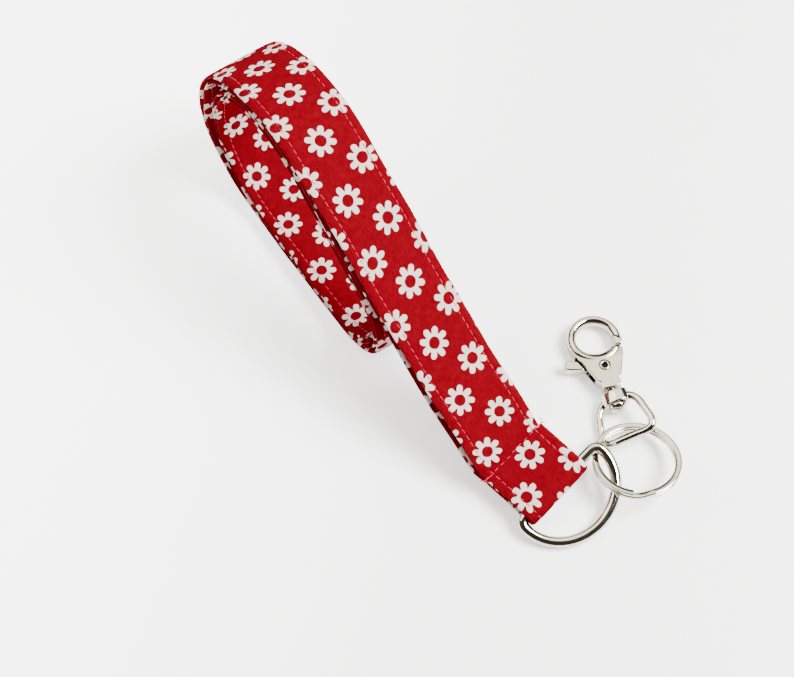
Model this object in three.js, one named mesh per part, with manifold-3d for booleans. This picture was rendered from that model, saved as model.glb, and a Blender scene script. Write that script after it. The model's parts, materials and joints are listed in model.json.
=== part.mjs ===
// A cotton lanyard strap wound into a standing coil, with a D-ring, a split ring and a swivel lobster clasp.
// Units are millimetres. +Z is up, +X runs from the coil towards the hardware, +Y is across the strap.
// The origin is the middle of the flat underside of the coil, where it rests on a surface.
import * as THREE from "three";
import { mergeVertices } from "three/addons/utils/BufferGeometryUtils.js";
import Module from "manifold-3d";

const wasm = await Module();
wasm.setup();

// Strap
const STRAP_WIDTH = 22;
const PLY = 1.3; // four layers of cotton over interfacing, pressed and edge stitched
const GAP = 0.3; // clearance between faces that touch
const PITCH = PLY + GAP;

// Side view of the coil: radii of the outermost face
const FLAT_LENGTH = 48; // straight underside
const CROWN_RADIUS = 31.2;
const SHOULDER_RADIUS = 41.8;
const HEEL_RADIUS = 23.9;
const RUN_SLOPE = 33.5; // degrees that the free run falls towards the hardware
const RUN_LENGTH = 92;
const RUN_YAW = 3; // degrees that the free run drifts sideways
const CROWN_GAP = 0.9; // opening between the crown and the run, which flexes there
const TURN_SLACK = 0.5; // extra room between the free run and the turn below it
const INNER_SHOULDER_RADIUS = 34;
const INNER_TOE_ARC = 70; // degrees that the second turn climbs before its end fold
const LOWER_PLY_SAG = 2.6;
const SAG_EASE = 12; // how gently the lower ply bends at its lowest point and at its end
const END_EASE = 10;
const LOWER_PLY_SHIFT = -0.9; // the lower ply lies slightly to one side

// Tab that holds the D-ring
const TAB_LENGTH = 14.2;
const TAB_YAW = 12;
const TAB_DIP = 8.5;
const TAB_ROLL = 10;
const BAR_CENTRE = [101.9, 7.9, 5.9];
const BAR_ROOM = 0.5; // play of the D-ring's bar inside the fold

// D-ring
const D_WIRE = 1.55; // wire radius
const D_HALF_WIDTH = 15.2;
const D_DEPTH = 15.8;
const D_CORNER = 2.4;
const D_SHIFT = 2.2; // the ring has slid along its bar
const D_DIP = 13.7;
const D_JOINT = 0.4; // the wire's two ends face each other inside the fold

// Split ring
const RING_RADIUS = 11.4;
const RING_WIRE_WIDTH = 1.8;
const RING_WIRE_HEIGHT = 1.1;
const RING_COIL_PITCH = 1.3;
const RING_CROSSOVER = 30; // degrees over which the wire steps from one coil to the other
const RING_CENTRE = [108.55, 31.95, 6];
const RING_HIGH_SIDE = -31; // heading of the side that lies on the D-ring
const RING_TILT = 13.3;
const RING_PHASE = 1; // turns the wire's step to the ring's near side

// Swivel and clasp, along their common axis
const SWIVEL_CENTRE = [90.1, 39.6, 3.72];
const SWIVEL_YAW = 160;
const SWIVEL_DIP = 3.18;
const EYE_ROLL = -23.9;
const EYE_WIRE = 1.15;
const COLLAR_HALF_WIDTH = 4; // the collar is oval, widest in the eye's plane
const COLLAR_HALF_HEIGHT = 2.9;
const COLLAR_LENGTH = 4;
const COLLAR_BORE = 1.4;
const PIN_RADIUS = 1.1;
const PIN_HEAD_RADIUS = 2.6;
const PIN_DOME = 1.7; // how far the pin's head stands out
const BODY_THICKNESS = 4.2;
const BASE_START = 3;
const BASE_HALF_WIDTH = 2.8;
const FLANK_START = [5.7, 3.5]; // where the clasp widens towards the hook
const FLANK_RISE = 20.1; // degrees between the flank and the clasp's axis
const SLOT_HEIGHT = 2.6;
const HOOK_CENTRE = 19.4;
const HOOK_OUTER = 8;
const HOOK_INNER = 5.5;
const RIVET_X = 10.25;
const RIVET_RADIUS = 1.5;
const RIVET_BORE = 0.85;
const RIVET_HOLE = 1.75;
const THUMB_TIP = [12.95, 9.5];
const THUMB_WIDTH = 3;
const THUMB_HEIGHT = 2.8;
const GATE_ELBOW = [14.2, -5.7]; // where the lever's thin arm turns into the gate
const GATE_ARM_WIDTH = 2.4;
const GATE_SWEEP = 10.25; // the gate's tip turns on this radius about the rivet
const LEVER_BOTTOM = -1.1;
const LEVER_THICKNESS = 1.3;
const LEVER_HUB_RADIUS = 2.9;
const FLANK_ROOM = 0.4; // between the thumb pad and the clasp's flank
const SPRING_WIRE = 0.12; // wire radius
const SPRING_TURNS = 1.7;
const SPRING_PITCH = 0.28;
const SPRING_START = 0.52;
const SPRING_RADIUS = 2.15;

const rad = THREE.MathUtils.degToRad;

const fabric = () => new THREE.MeshStandardMaterial({ color: 0xb5121f, roughness: 0.9, metalness: 0 });
const nickel = () => new THREE.MeshStandardMaterial({ color: 0xc9c5b8, roughness: 0.18, metalness: 1 });
const steel = () => new THREE.MeshStandardMaterial({ color: 0xa9a9a6, roughness: 0.35, metalness: 1 });

const named = (name, geometry, material) => {
  const mesh = new THREE.Mesh(geometry, material);
  mesh.name = name;
  return mesh;
};

const placed = (position, yaw, dip, roll, ...children) => {
  const group = new THREE.Group();
  group.position.set(...position);
  group.rotation.set(rad(roll), rad(dip), rad(yaw), "ZYX");
  group.add(...children);
  return group;
};

// A closed geometry as a solid, for cutting and joining.
const solid = (geometry) => {
  const bare = geometry.clone();
  bare.deleteAttribute("normal");
  bare.deleteAttribute("uv");
  const merged = mergeVertices(bare, 1e-4);
  return new wasm.Manifold(
    new wasm.Mesh({
      numProp: 3,
      vertProperties: merged.attributes.position.array,
      triVerts: new Uint32Array(merged.index.array),
    }),
  );
};

const geometryOf = (manifold) => {
  const mesh = manifold.getMesh();
  const geometry = new THREE.BufferGeometry();
  geometry.setAttribute("position", new THREE.BufferAttribute(mesh.vertProperties, 3));
  geometry.setIndex(new THREE.BufferAttribute(mesh.triVerts, 1));
  return geometry;
};

// A side-view shape (x along, y up) extruded across the strap and centred on it.
const acrossStrap = (shape, width = STRAP_WIDTH, curveSegments = 10) =>
  new THREE.ExtrudeGeometry(shape, { depth: width, bevelEnabled: false, curveSegments })
    .translate(0, 0, -width / 2)
    .rotateX(Math.PI / 2);

// A plan shape extruded to a plate that is centred on height zero.
const plate = (shape, height, curveSegments = 12) =>
  new THREE.ExtrudeGeometry(shape, { depth: height, bevelEnabled: false, curveSegments })
    .translate(0, 0, -height / 2);

const block = (x0, x1, y0, y1, z0, z1) =>
  new THREE.BoxGeometry(x1 - x0, y1 - y0, z1 - z0).translate((x0 + x1) / 2, (y0 + y1) / 2, (z0 + z1) / 2);

// A cylinder along X from x0 to x1.
const cylinderX = (radius, x0, x1, sides = 24) =>
  new THREE.CylinderGeometry(radius, radius, x1 - x0, sides)
    .rotateZ(-Math.PI / 2)
    .translate((x0 + x1) / 2, 0, 0);

// A cylinder along Z, centred on height zero.
const cylinderZ = (radius, height, x, y, sides = 24) =>
  new THREE.CylinderGeometry(radius, radius, height, sides).rotateX(Math.PI / 2).translate(x, y, 0);

// ---------------------------------------------------------------- strap: side-view arcs
// Each arc is the outer face of a ply: centre, radius, start and end angle in degrees, turning left.
const crownTop = HEEL_RADIUS + SHOULDER_RADIUS;
const heelX = -FLAT_LENGTH / 2;
const crownX = heelX - HEEL_RADIUS + SHOULDER_RADIUS;
const runAngle = 90 - RUN_SLOPE; // angle of the run's outward normal
const runNormal = new THREE.Vector2(Math.cos(rad(runAngle)), Math.sin(rad(runAngle)));
const crownCentre = new THREE.Vector2(crownX, crownTop - CROWN_RADIUS);
const runStart = crownCentre.clone().addScaledVector(runNormal, CROWN_RADIUS);

// The second turn passes below the run at this depth, and the toe's radius follows from it.
const turnDepth = 2 * PITCH + TURN_SLACK;
const toeX = FLAT_LENGTH / 2;
const runBeyondToe = runStart.clone().sub(new THREE.Vector2(toeX, 0)).dot(runNormal);
const toeRadius = (runBeyondToe - turnDepth) / (1 + runNormal.y);

const arc = (x, y, radius, from, to) => ({ x, y, radius, from, to });
const firstTurn = [
  arc(crownCentre.x, crownCentre.y, CROWN_RADIUS, runAngle, 90),
  arc(crownX, HEEL_RADIUS, SHOULDER_RADIUS, 90, 180),
  arc(heelX, HEEL_RADIUS, HEEL_RADIUS, 180, 270),
  arc(toeX, toeRadius, toeRadius, -90, runAngle),
];

const innerTop = crownTop - turnDepth;
const innerShoulderY = innerTop - INNER_SHOULDER_RADIUS;
const innerFloor = 2 * PITCH;
const innerHeelRadius = innerShoulderY - innerFloor;
const toeEnd = new THREE.Vector2(toeX, toeRadius).addScaledVector(runNormal, toeRadius);
const alongRun = new THREE.Vector2(runNormal.y, -runNormal.x);
const innerStart = toeEnd.clone().addScaledVector(alongRun, -GAP);
const secondTurn = [
  arc(crownCentre.x, crownCentre.y, CROWN_RADIUS - turnDepth, runAngle, 90),
  arc(crownX, innerShoulderY, INNER_SHOULDER_RADIUS, 90, 180),
  arc(crownX - INNER_SHOULDER_RADIUS + innerHeelRadius, innerShoulderY, innerHeelRadius, 180, 270),
  arc(toeX, toeRadius, toeRadius - innerFloor, -90, INNER_TOE_ARC - 90),
];

// The outline of one ply that follows a turn, from its outer face at `depth` inwards.
const plyOutline = (arcs, depth, start) => {
  const shape = new THREE.Shape();
  if (start) shape.moveTo(start.x - depth * runNormal.x, start.y - depth * runNormal.y);
  for (const a of arcs) {
    shape.absarc(a.x, a.y, a.radius - depth, rad(a.from), rad(a.to), false);
  }
  for (const a of arcs.toReversed()) {
    shape.absarc(a.x, a.y, a.radius - depth - PLY, rad(a.to), rad(a.from), true);
  }
  if (start) shape.lineTo(start.x - (depth + PLY) * runNormal.x, start.y - (depth + PLY) * runNormal.y);
  return shape;
};

// The fold where the two plies of the second turn become one another.
const endFold = () => {
  const centreRadius = toeRadius - innerFloor - PLY - GAP / 2;
  const endAngle = rad(INNER_TOE_ARC - 90);
  const step = GAP / centreRadius;
  const x = toeX + centreRadius * Math.cos(endAngle + step);
  const y = toeRadius + centreRadius * Math.sin(endAngle + step);
  const outer = PLY + GAP / 2;
  const shape = new THREE.Shape();
  shape.absarc(x, y, outer, endAngle, endAngle + Math.PI, false);
  shape.absarc(x, y, GAP / 2, endAngle + Math.PI, endAngle, true);
  return shape;
};

const coil = new THREE.Group();
coil.add(
  named("coil_outer_ply_first_turn", acrossStrap(plyOutline(firstTurn, 0)), fabric()),
  named("coil_inner_ply_first_turn", acrossStrap(plyOutline(firstTurn, PITCH)), fabric()),
  named("coil_outer_ply_second_turn", acrossStrap(plyOutline(secondTurn, 0, innerStart)), fabric()),
  named("coil_inner_ply_second_turn", acrossStrap(plyOutline(secondTurn, PITCH, innerStart)), fabric()),
  named("strap_end_fold", acrossStrap(endFold()), fabric()),
);

// ---------------------------------------------------------------- strap: free run
// In the run's own frame X runs down the slope and height zero is its top face.
const upperRun = () => {
  const shape = new THREE.Shape();
  shape.moveTo(CROWN_GAP, -PLY);
  shape.lineTo(RUN_LENGTH, -PLY);
  shape.lineTo(RUN_LENGTH, 0);
  shape.lineTo(CROWN_GAP, 0);
  return shape;
};

const lowerRun = () => {
  const hangStart = 0.36 * RUN_LENGTH; // clear of the turn below
  const lowest = (hangStart + RUN_LENGTH) / 2;
  const before = lowest - SAG_EASE;
  const after = lowest + SAG_EASE;
  const nearEnd = RUN_LENGTH - END_EASE;
  const top = -PITCH;
  const bottom = -PITCH - PLY;
  const lowTop = top - LOWER_PLY_SAG;
  const lowBottom = bottom - LOWER_PLY_SAG;
  const shape = new THREE.Shape();
  shape.moveTo(CROWN_GAP, bottom);
  shape.lineTo(hangStart, bottom);
  shape.bezierCurveTo(before, bottom, before, lowBottom, lowest, lowBottom);
  shape.bezierCurveTo(after, lowBottom, nearEnd, bottom, RUN_LENGTH, bottom);
  shape.lineTo(RUN_LENGTH, top);
  shape.bezierCurveTo(nearEnd, top, after, lowTop, lowest, lowTop);
  shape.bezierCurveTo(before, lowTop, before, top, hangStart, top);
  shape.lineTo(CROWN_GAP, top);
  return shape;
};

const runOrigin = [runStart.x, 0, runStart.y];
const lowerRunMesh = named("run_lower_ply", acrossStrap(lowerRun(), STRAP_WIDTH, 8), fabric());
lowerRunMesh.position.y = LOWER_PLY_SHIFT;
const run = placed(
  runOrigin,
  RUN_YAW,
  RUN_SLOPE,
  0,
  named("run_upper_ply", acrossStrap(upperRun()), fabric()),
  lowerRunMesh,
);

// ---------------------------------------------------------------- strap: tab round the D-ring's bar
// In the tab's own frame the bar is the Y axis and X points out of the fold.
const tabOutline = () => {
  const pocket = D_WIRE + BAR_ROOM;
  const fold = pocket + PLY;
  const half = PLY + GAP / 2;
  const back = -TAB_LENGTH - 4;
  const shape = new THREE.Shape();
  shape.moveTo(back, -half);
  shape.lineTo(-TAB_LENGTH, -half);
  shape.bezierCurveTo(-TAB_LENGTH / 2, -half, -5, -fold, 0, -fold);
  shape.absarc(0, 0, fold, -Math.PI / 2, Math.PI / 2, false);
  shape.bezierCurveTo(-5, fold, -TAB_LENGTH / 2, half, -TAB_LENGTH, half);
  shape.lineTo(back, half);
  const hole = new THREE.Path();
  hole.moveTo(-TAB_LENGTH / 2 - 1, 0);
  hole.bezierCurveTo(-TAB_LENGTH / 2 + 2, 0.6, -3.5, pocket, 0, pocket);
  hole.absarc(0, 0, pocket, Math.PI / 2, -Math.PI / 2, true);
  hole.bezierCurveTo(-3.5, -pocket, -TAB_LENGTH / 2 + 2, -0.6, -TAB_LENGTH / 2 - 1, 0);
  shape.holes.push(hole);
  return shape;
};

// The tab starts on the line where the run ends, so a block in line with the run trims it.
const tabFrame = placed(BAR_CENTRE, TAB_YAW, TAB_DIP, TAB_ROLL, new THREE.Group());
tabFrame.updateMatrixWorld(true);
run.updateMatrixWorld(true);
const runEnd = new THREE.Vector3(RUN_LENGTH + GAP, 0, 0).applyMatrix4(run.matrixWorld);
const trimFrame = placed(runEnd.toArray(), RUN_YAW, TAB_DIP, 0, new THREE.Group());
trimFrame.updateMatrixWorld(true);
const trimInTab = tabFrame.matrixWorld.clone().invert().multiply(trimFrame.matrixWorld);
const trimBlock = block(-30, 0, -30, 30, -20, 20).applyMatrix4(trimInTab);
const tabSolid = solid(acrossStrap(tabOutline(), STRAP_WIDTH, 8)).subtract(solid(trimBlock));
tabFrame.add(named("d_ring_tab", geometryOf(tabSolid), fabric()));

// ---------------------------------------------------------------- D-ring
// One wire, bent from the middle of the bar round the arc and back. X points away from the bar.
const dRingPath = () => {
  const points = [new THREE.Vector3(0, D_JOINT / 2, 0), new THREE.Vector3(0, D_HALF_WIDTH / 2, 0)];
  const cornerSteps = 3;
  for (let i = 0; i <= cornerSteps; i++) {
    const t = (i / cornerSteps) * (Math.PI / 2);
    const x = D_CORNER * (1 - Math.cos(t));
    const y = D_HALF_WIDTH - D_CORNER * (1 - Math.sin(t));
    points.push(new THREE.Vector3(x, y, 0));
  }
  const arcSteps = 10;
  for (let i = 1; i < arcSteps; i++) {
    const t = (i / arcSteps) * Math.PI;
    const x = D_CORNER + (D_DEPTH - D_CORNER) * Math.sin(t);
    points.push(new THREE.Vector3(x, D_HALF_WIDTH * Math.cos(t), 0));
  }
  const half = points.slice(0, cornerSteps + 3);
  for (const p of half.toReversed()) points.push(new THREE.Vector3(p.x, -p.y, 0));
  return new THREE.CatmullRomCurve3(points, false, "centripetal");
};

const round = (radius, sides) => {
  const shape = new THREE.Shape();
  for (let i = 0; i < sides; i++) {
    const t = (i / sides) * 2 * Math.PI;
    const x = radius * Math.cos(t);
    const y = radius * Math.sin(t);
    if (i === 0) shape.moveTo(x, y);
    else shape.lineTo(x, y);
  }
  return shape;
};

const alongPath = (shape, path, steps) =>
  new THREE.ExtrudeGeometry(shape, { steps, extrudePath: path, bevelEnabled: false });

const dRingMesh = named("d_ring", alongPath(round(D_WIRE, 12), dRingPath(), 72), nickel());
dRingMesh.position.y = D_SHIFT;
const dRing = placed(BAR_CENTRE, TAB_YAW, D_DIP, TAB_ROLL, dRingMesh);

// ---------------------------------------------------------------- split ring
// A flattened wire makes two coils, one over the other, and steps up between them.
class SplitRingPath extends THREE.Curve {
  getPoint(t, target = new THREE.Vector3()) {
    const step = RING_CROSSOVER / 2;
    const angle = step + t * (720 - 2 * step);
    const rise = THREE.MathUtils.smoothstep(angle, 360 - step, 360 + step) - 0.5;
    const x = RING_RADIUS * Math.cos(rad(angle));
    const y = RING_RADIUS * Math.sin(rad(angle));
    return target.set(x, y, rise * RING_COIL_PITCH);
  }
}

// The wire's section: x is its height and y its width, with the corners taken off.
const ringSection = () => {
  const x = RING_WIRE_HEIGHT / 2;
  const y = RING_WIRE_WIDTH / 2;
  const cut = 0.3;
  const half = [[x, y - cut], [x - cut, y], [cut - x, y], [-x, y - cut]];
  const corners = [...half, ...half.map(([a, b]) => [-a, -b])];
  return new THREE.Shape(corners.map(([a, b]) => new THREE.Vector2(a, b)));
};

const splitRingMesh = named("split_ring", alongPath(ringSection(), new SplitRingPath(), 96), nickel());
splitRingMesh.rotation.z = rad(RING_PHASE);
const splitRing = placed(RING_CENTRE, RING_HIGH_SIDE, -RING_TILT, 0, splitRingMesh);

// ---------------------------------------------------------------- swivel eye
// In the swivel's frame X runs from the collar to the clasp's tip.
const eyeLoop = () => {
  const shoulder = [[0, 2], [-0.6, 4.2], [-2.6, 5.9], [-6, 6.8]];
  const corner = [[-9.6, 7.5], [-11.5, 6.9], [-12.2, 5.2], [-12.2, 2]];
  const side = [...shoulder, ...corner];
  const points = side.map(([x, y]) => new THREE.Vector3(x, y, 0));
  for (const [x, y] of side.toReversed()) points.push(new THREE.Vector3(x, -y, 0));
  return new THREE.CatmullRomCurve3(points, false, "centripetal");
};

const swivelEye = () => {
  const collar = cylinderX(1, -COLLAR_LENGTH / 2, COLLAR_LENGTH / 2, 32);
  collar.scale(1, COLLAR_HALF_WIDTH, COLLAR_HALF_HEIGHT);
  const bore = cylinderX(COLLAR_BORE, -COLLAR_LENGTH, COLLAR_LENGTH, 20);
  const loop = solid(alongPath(round(EYE_WIRE, 10), eyeLoop(), 52));
  return geometryOf(loop.add(solid(collar)).subtract(solid(bore)));
};

const eyeMesh = named("swivel_eye", swivelEye(), nickel());
eyeMesh.rotation.x = rad(EYE_ROLL);

// The pin turns in the collar. Its domed head stays inside the eye and its tail is fixed in the clasp.
const swivelPin = () => {
  const headStart = -COLLAR_LENGTH / 2 - GAP;
  const tail = BASE_START + 2;
  const profile = [
    [0, headStart - PIN_DOME],
    [0.55 * PIN_HEAD_RADIUS, headStart - 0.88 * PIN_DOME],
    [0.86 * PIN_HEAD_RADIUS, headStart - 0.6 * PIN_DOME],
    [PIN_HEAD_RADIUS, headStart - 0.25 * PIN_DOME],
    [PIN_HEAD_RADIUS, headStart],
    [PIN_RADIUS, headStart],
    [PIN_RADIUS, tail],
    [0, tail],
  ];
  const points = profile.map(([r, y]) => new THREE.Vector2(r, y));
  return new THREE.LatheGeometry(points, 20).rotateZ(-Math.PI / 2);
};

// ---------------------------------------------------------------- clasp body
const claspOutline = () => {
  const noseAngle = -112;
  const rootAngle = 112;
  const shoulderAngle = 228;
  const step = 5.2; // the base ends here
  const [flankX, flankY] = FLANK_START;
  const shape = new THREE.Shape();
  shape.moveTo(BASE_START, -BASE_HALF_WIDTH);
  shape.lineTo(step, -BASE_HALF_WIDTH);
  shape.lineTo(flankX, -flankY);
  shape.lineTo(13.9, -7);
  shape.lineTo(14.7, -6.6);
  shape.absarc(HOOK_CENTRE, 0, HOOK_INNER, rad(shoulderAngle), rad(noseAngle), true);
  shape.absarc(HOOK_CENTRE, 0, HOOK_OUTER, rad(noseAngle), rad(rootAngle), false);
  shape.lineTo(flankX, flankY);
  shape.lineTo(step, BASE_HALF_WIDTH);
  shape.lineTo(BASE_START, BASE_HALF_WIDTH);
  return shape;
};

const claspBody = () => {
  const half = SLOT_HEIGHT / 2;
  const slot = block(6.6, 15.3, -10, 10, -half, half);
  const gateSlot = block(14, 17, -10, -2, -half, half);
  const rivetHole = cylinderZ(RIVET_HOLE, 3 * BODY_THICKNESS, RIVET_X, 0);
  const pinHole = cylinderX(PIN_RADIUS + 0.25, BASE_START - 1, BASE_START + 2.3, 20);
  const noseBlock = solid(block(16, 22, -10, -3.5, -BODY_THICKNESS, BODY_THICKNESS));
  const sweep = solid(cylinderZ(GATE_SWEEP + GAP, 3 * BODY_THICKNESS, RIVET_X, 0, 72));
  let body = solid(plate(claspOutline(), BODY_THICKNESS, 28)).subtract(sweep.intersect(noseBlock));
  for (const cut of [slot, gateSlot, rivetHole, pinHole]) body = body.subtract(solid(cut));
  return geometryOf(body);
};

// ---------------------------------------------------------------- lever, with its gate
// A straight bar of the given width between two points, in plan, with a round far end.
const bar = (x0, y0, x1, y1, width, height) => {
  const length = Math.hypot(x1 - x0, y1 - y0);
  const shape = new THREE.Shape();
  shape.moveTo(0, -width / 2);
  shape.absarc(length, 0, width / 2, -Math.PI / 2, Math.PI / 2, false);
  shape.lineTo(0, width / 2);
  return plate(shape, height, 8)
    .rotateZ(Math.atan2(y1 - y0, x1 - x0))
    .translate(x0, y0, 0);
};

// The thumb pad is thicker than the slot, so it ends just outside the clasp's flank.
const thumbPad = () => {
  const pad = bar(11.6, 4.7, ...THUMB_TIP, THUMB_WIDTH, THUMB_HEIGHT);
  const flank = block(-30, 30, -30, FLANK_ROOM, -5, 5)
    .rotateZ(rad(FLANK_RISE))
    .translate(...FLANK_START, 0);
  return solid(pad).subtract(solid(flank));
};

const claspLever = () => {
  const middle = LEVER_BOTTOM + LEVER_THICKNESS / 2;
  const hub = cylinderZ(LEVER_HUB_RADIUS, LEVER_THICKNESS, RIVET_X, 0, 28);
  const thumbArm = bar(RIVET_X, 0, ...THUMB_TIP, THUMB_WIDTH, LEVER_THICKNESS);
  const gateArm = bar(RIVET_X, 0, ...GATE_ELBOW, GATE_ARM_WIDTH, LEVER_THICKNESS);
  const gateStem = bar(...GATE_ELBOW, 16.6, -6.3, GATE_ARM_WIDTH, LEVER_THICKNESS);
  const thin = [thumbArm, gateArm, gateStem].map((g) => solid(g.translate(0, 0, middle)));
  const gate = solid(block(16.2, 20, -7.7, -5.3, -1.6, 1.6));
  const sweep = solid(cylinderZ(GATE_SWEEP, 3 * BODY_THICKNESS, RIVET_X, 0, 72));
  let lever = solid(hub.translate(0, 0, middle));
  for (const piece of [...thin, thumbPad(), gate.intersect(sweep)]) lever = lever.add(piece);
  return geometryOf(lever.subtract(solid(cylinderZ(RIVET_HOLE, 12, RIVET_X, 0))));
};

const leverRivet = () => {
  const height = BODY_THICKNESS + 0.1;
  const tube = solid(cylinderZ(RIVET_RADIUS, height, RIVET_X, 0));
  return geometryOf(tube.subtract(solid(cylinderZ(RIVET_BORE, 2 * height, RIVET_X, 0, 18))));
};

// A torsion spring round the rivet, above the lever.
class SpringPath extends THREE.Curve {
  getPoint(t, target = new THREE.Vector3()) {
    const turns = t * SPRING_TURNS;
    const angle = turns * 2 * Math.PI;
    const x = RIVET_X + SPRING_RADIUS * Math.cos(angle);
    const y = SPRING_RADIUS * Math.sin(angle);
    return target.set(x, y, SPRING_START + SPRING_PITCH * turns);
  }
}

const springMesh = named("lever_spring", alongPath(round(SPRING_WIRE, 6), new SpringPath(), 40), steel());

const swivel = placed(
  SWIVEL_CENTRE,
  SWIVEL_YAW,
  SWIVEL_DIP,
  0,
  eyeMesh,
  named("swivel_pin", swivelPin(), nickel()),
  named("clasp_body", claspBody(), nickel()),
  named("clasp_lever", claspLever(), nickel()),
  named("lever_rivet", leverRivet(), nickel()),
  springMesh,
);

const group = new THREE.Group();
group.add(coil, run, tabFrame, dRing, splitRing, swivel);

export default group;
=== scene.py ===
# A cotton lanyard strap wound into a standing coil, with a D-ring, a split ring and a swivel lobster clasp.
# Lengths are in millimetres until a mesh is made, which scales them to metres. +Z is up.
import json
import math

import bmesh
import bpy
import numpy as np
from mathutils import Matrix, Vector, noise


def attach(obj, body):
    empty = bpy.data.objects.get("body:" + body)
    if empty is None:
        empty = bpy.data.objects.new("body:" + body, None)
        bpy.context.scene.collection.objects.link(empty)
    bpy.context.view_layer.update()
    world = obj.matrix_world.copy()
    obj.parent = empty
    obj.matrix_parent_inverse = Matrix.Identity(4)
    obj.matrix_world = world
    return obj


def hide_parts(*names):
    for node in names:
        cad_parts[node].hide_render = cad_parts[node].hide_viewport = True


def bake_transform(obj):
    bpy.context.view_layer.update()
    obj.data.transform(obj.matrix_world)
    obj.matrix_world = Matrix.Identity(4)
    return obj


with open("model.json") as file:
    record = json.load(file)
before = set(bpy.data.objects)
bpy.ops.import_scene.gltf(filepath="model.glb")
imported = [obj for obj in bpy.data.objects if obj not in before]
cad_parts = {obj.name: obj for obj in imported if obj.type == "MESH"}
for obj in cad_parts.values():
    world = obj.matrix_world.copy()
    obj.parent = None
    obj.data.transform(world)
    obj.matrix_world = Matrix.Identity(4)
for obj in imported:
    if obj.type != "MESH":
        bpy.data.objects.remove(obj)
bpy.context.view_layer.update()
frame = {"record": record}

MM = 0.001
joints = {joint["name"]: joint for joint in frame["record"]["behaviour"]["joints"]}


def joint_point(name):
    """Where a joint is, in millimetres."""
    return np.array(joints[name]["pos_m"]) / MM


# -------- sizes, with angles in degrees
STRAP_WIDTH = 22
PLY = 1.3
GAP = 0.3
PITCH = PLY + GAP
MIDDLE = PLY / 2  # depth of a ply's middle below its outer face

FLAT_LENGTH = 48
CROWN_RADIUS = 31.2
SHOULDER_RADIUS = 41.8
HEEL_RADIUS = 23.9
RUN_SLOPE = 33.5
RUN_LENGTH = 92
RUN_YAW = 3
TURN_SLACK = 0.5
INNER_SHOULDER_RADIUS = 34
INNER_TOE_ARC = 70
LOWER_PLY_SAG = 2.6
LOWER_PLY_SHIFT = -0.9

TAB_LENGTH = 14.2
TAB_YAW = 12
TAB_DIP = 8.5
TAB_ROLL = 10
BAR_ROOM = 0.5

D_WIRE = 1.55
D_HALF_WIDTH = 15.2
D_DEPTH = 15.8
D_CORNER = 2.4
D_SHIFT = 2.2
D_DIP = 13.7
D_JOINT = 0.4

RING_RADIUS = 11.4
RING_WIRE_WIDTH = 1.8
RING_WIRE_HEIGHT = 1.1
RING_COIL_PITCH = 1.3
RING_CROSSOVER = 30
RING_CENTRE = (108.55, 31.95, 6)
RING_HIGH_SIDE = -31
RING_TILT = 13.3
RING_PHASE = 1

SWIVEL_YAW = 160
SWIVEL_DIP = 3.18
EYE_ROLL = -23.9
EYE_WIRE = 1.15
# Half of the eye's outline, from the collar to the middle of its far side.
EYE_SIDE = [(0, 2), (-0.6, 4.2), (-2.6, 5.9), (-6, 6.8), (-9.6, 7.5), (-11.5, 6.9), (-12.2, 5.2), (-12.2, 2)]
COLLAR_HALF_WIDTH = 4
COLLAR_HALF_HEIGHT = 2.9
COLLAR_LENGTH = 4
COLLAR_LIP = 0.5
COLLAR_BORE = 1.4
PIN_RADIUS = 1.1
PIN_HEAD_RADIUS = 2.6
PIN_DOME = 1.7
BODY_THICKNESS = 4.2
BASE_START = 3
SLOT_HEIGHT = 2.6
HOOK_CENTRE = 19.4
HOOK_OUTER = 8
HOOK_INNER = 5.25
RIVET_X = 10.25
RIVET_RADIUS = 1.5
RIVET_BORE = 0.85
RIVET_HOLE = 1.75
RIVET_ROLL = 0.28
NECK = (5.2, 2.8)  # where the casting starts to widen, and its half width there
HOOK_MOUTH = ((13.9, -7), (14.7, -6.6))  # the end of the casting's flank, where the gate closes
SLOT_ENDS = (6.6, 15.3)
GATE_SLOT_ENDS = (14, 17)
PIN_HOLE_ROOM = 0.25
LEVER_BOTTOM = -1.1
LEVER_THICKNESS = 1.3
LEVER_HUB = 2.9
GATE_ARM_END = (14.2, -5.7)
THUMB_TIP = (12.95, 9.5)
THUMB_WIDTH = 3
THUMB_HEIGHT = 2.8
FLANK_START = (5.7, 3.5)
FLANK_RISE = 20.1
FLANK_ROOM = 0.4
GATE_SWEEP = 10.25
SPRING_COIL = 2.15
SPRING_WIRE = 0.12
SPRING_TURNS = 1.7

STITCH_INSET = 2.6
STITCH_PITCH = 2.2
STITCH_LENGTH = 1.6
STITCH_SINK = 0.045
THREAD_WIDTH = 0.26
SEAM_INSET = 0.9  # the row of stitches across the tab lies this far past the seam
SEAM_SINK = 0.04
SEAM_STITCHES = 9
TAIL_RADIUS = 0.13

RING_STEP = 0.55  # distance between the cross-sections of the strap
RUN_CUT = 46  # where one strap piece ends and the next begins, down the run


# -------- small helpers
def rotation(yaw, dip, roll):
    """Roll about X, then dip about Y, then yaw about Z, in degrees, as a 3 by 3 array."""
    turns = [Matrix.Rotation(math.radians(a), 3, axis) for a, axis in ((yaw, "Z"), (dip, "Y"), (roll, "X"))]
    return np.array(turns[0] @ turns[1] @ turns[2])


def smooth(x):
    x = np.clip(x, 0, 1)
    return x * x * (3 - 2 * x)


def unit(v):
    return v / np.linalg.norm(v, axis=-1, keepdims=True)


def wander(x, seed, wavelength):
    """Smooth noise in -1 to 1 along a line."""
    return np.array([noise.noise(Vector((float(t) / wavelength, seed * 7.3, seed * 3.1))) for t in x])


def wall(count, around, closed=False):
    """The four-sided faces between count rings of vertices, each with around vertices."""
    faces = []
    for i in range(count if closed else count - 1):
        here, there = i * around, (i + 1) % count * around
        for j in range(around):
            k = (j + 1) % around
            faces.append((here + j, here + k, there + k, there + j))
    return faces


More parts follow.
